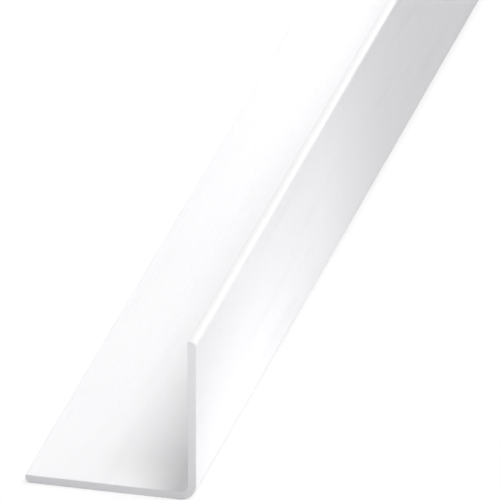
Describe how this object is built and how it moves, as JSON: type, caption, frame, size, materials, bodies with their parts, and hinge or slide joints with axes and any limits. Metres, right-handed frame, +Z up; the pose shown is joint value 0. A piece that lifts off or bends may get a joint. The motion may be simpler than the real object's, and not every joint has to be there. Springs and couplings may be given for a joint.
{
  "type": "corner guard moulding",
  "caption": "Straight white plastic corner guard: an angle profile with equal legs, a rounded outer corner and eased free edges, glued over the corner of a wall.",
  "frame": {"origin": "middle of the lying leg's underside, which is the middle of the footprint on the floor", "axes": "+Y along the length, away from the sawn end that the picture shows; +X across the lying leg, towards the standing leg; +Z up"},
  "size_m": [0.03, 1, 0.03],
  "materials": {
    "white_pvc": "satin"
  },
  "bodies": {
    "root": {"corner_guard_profile": "white_pvc"}
  },
  "joints": []
}
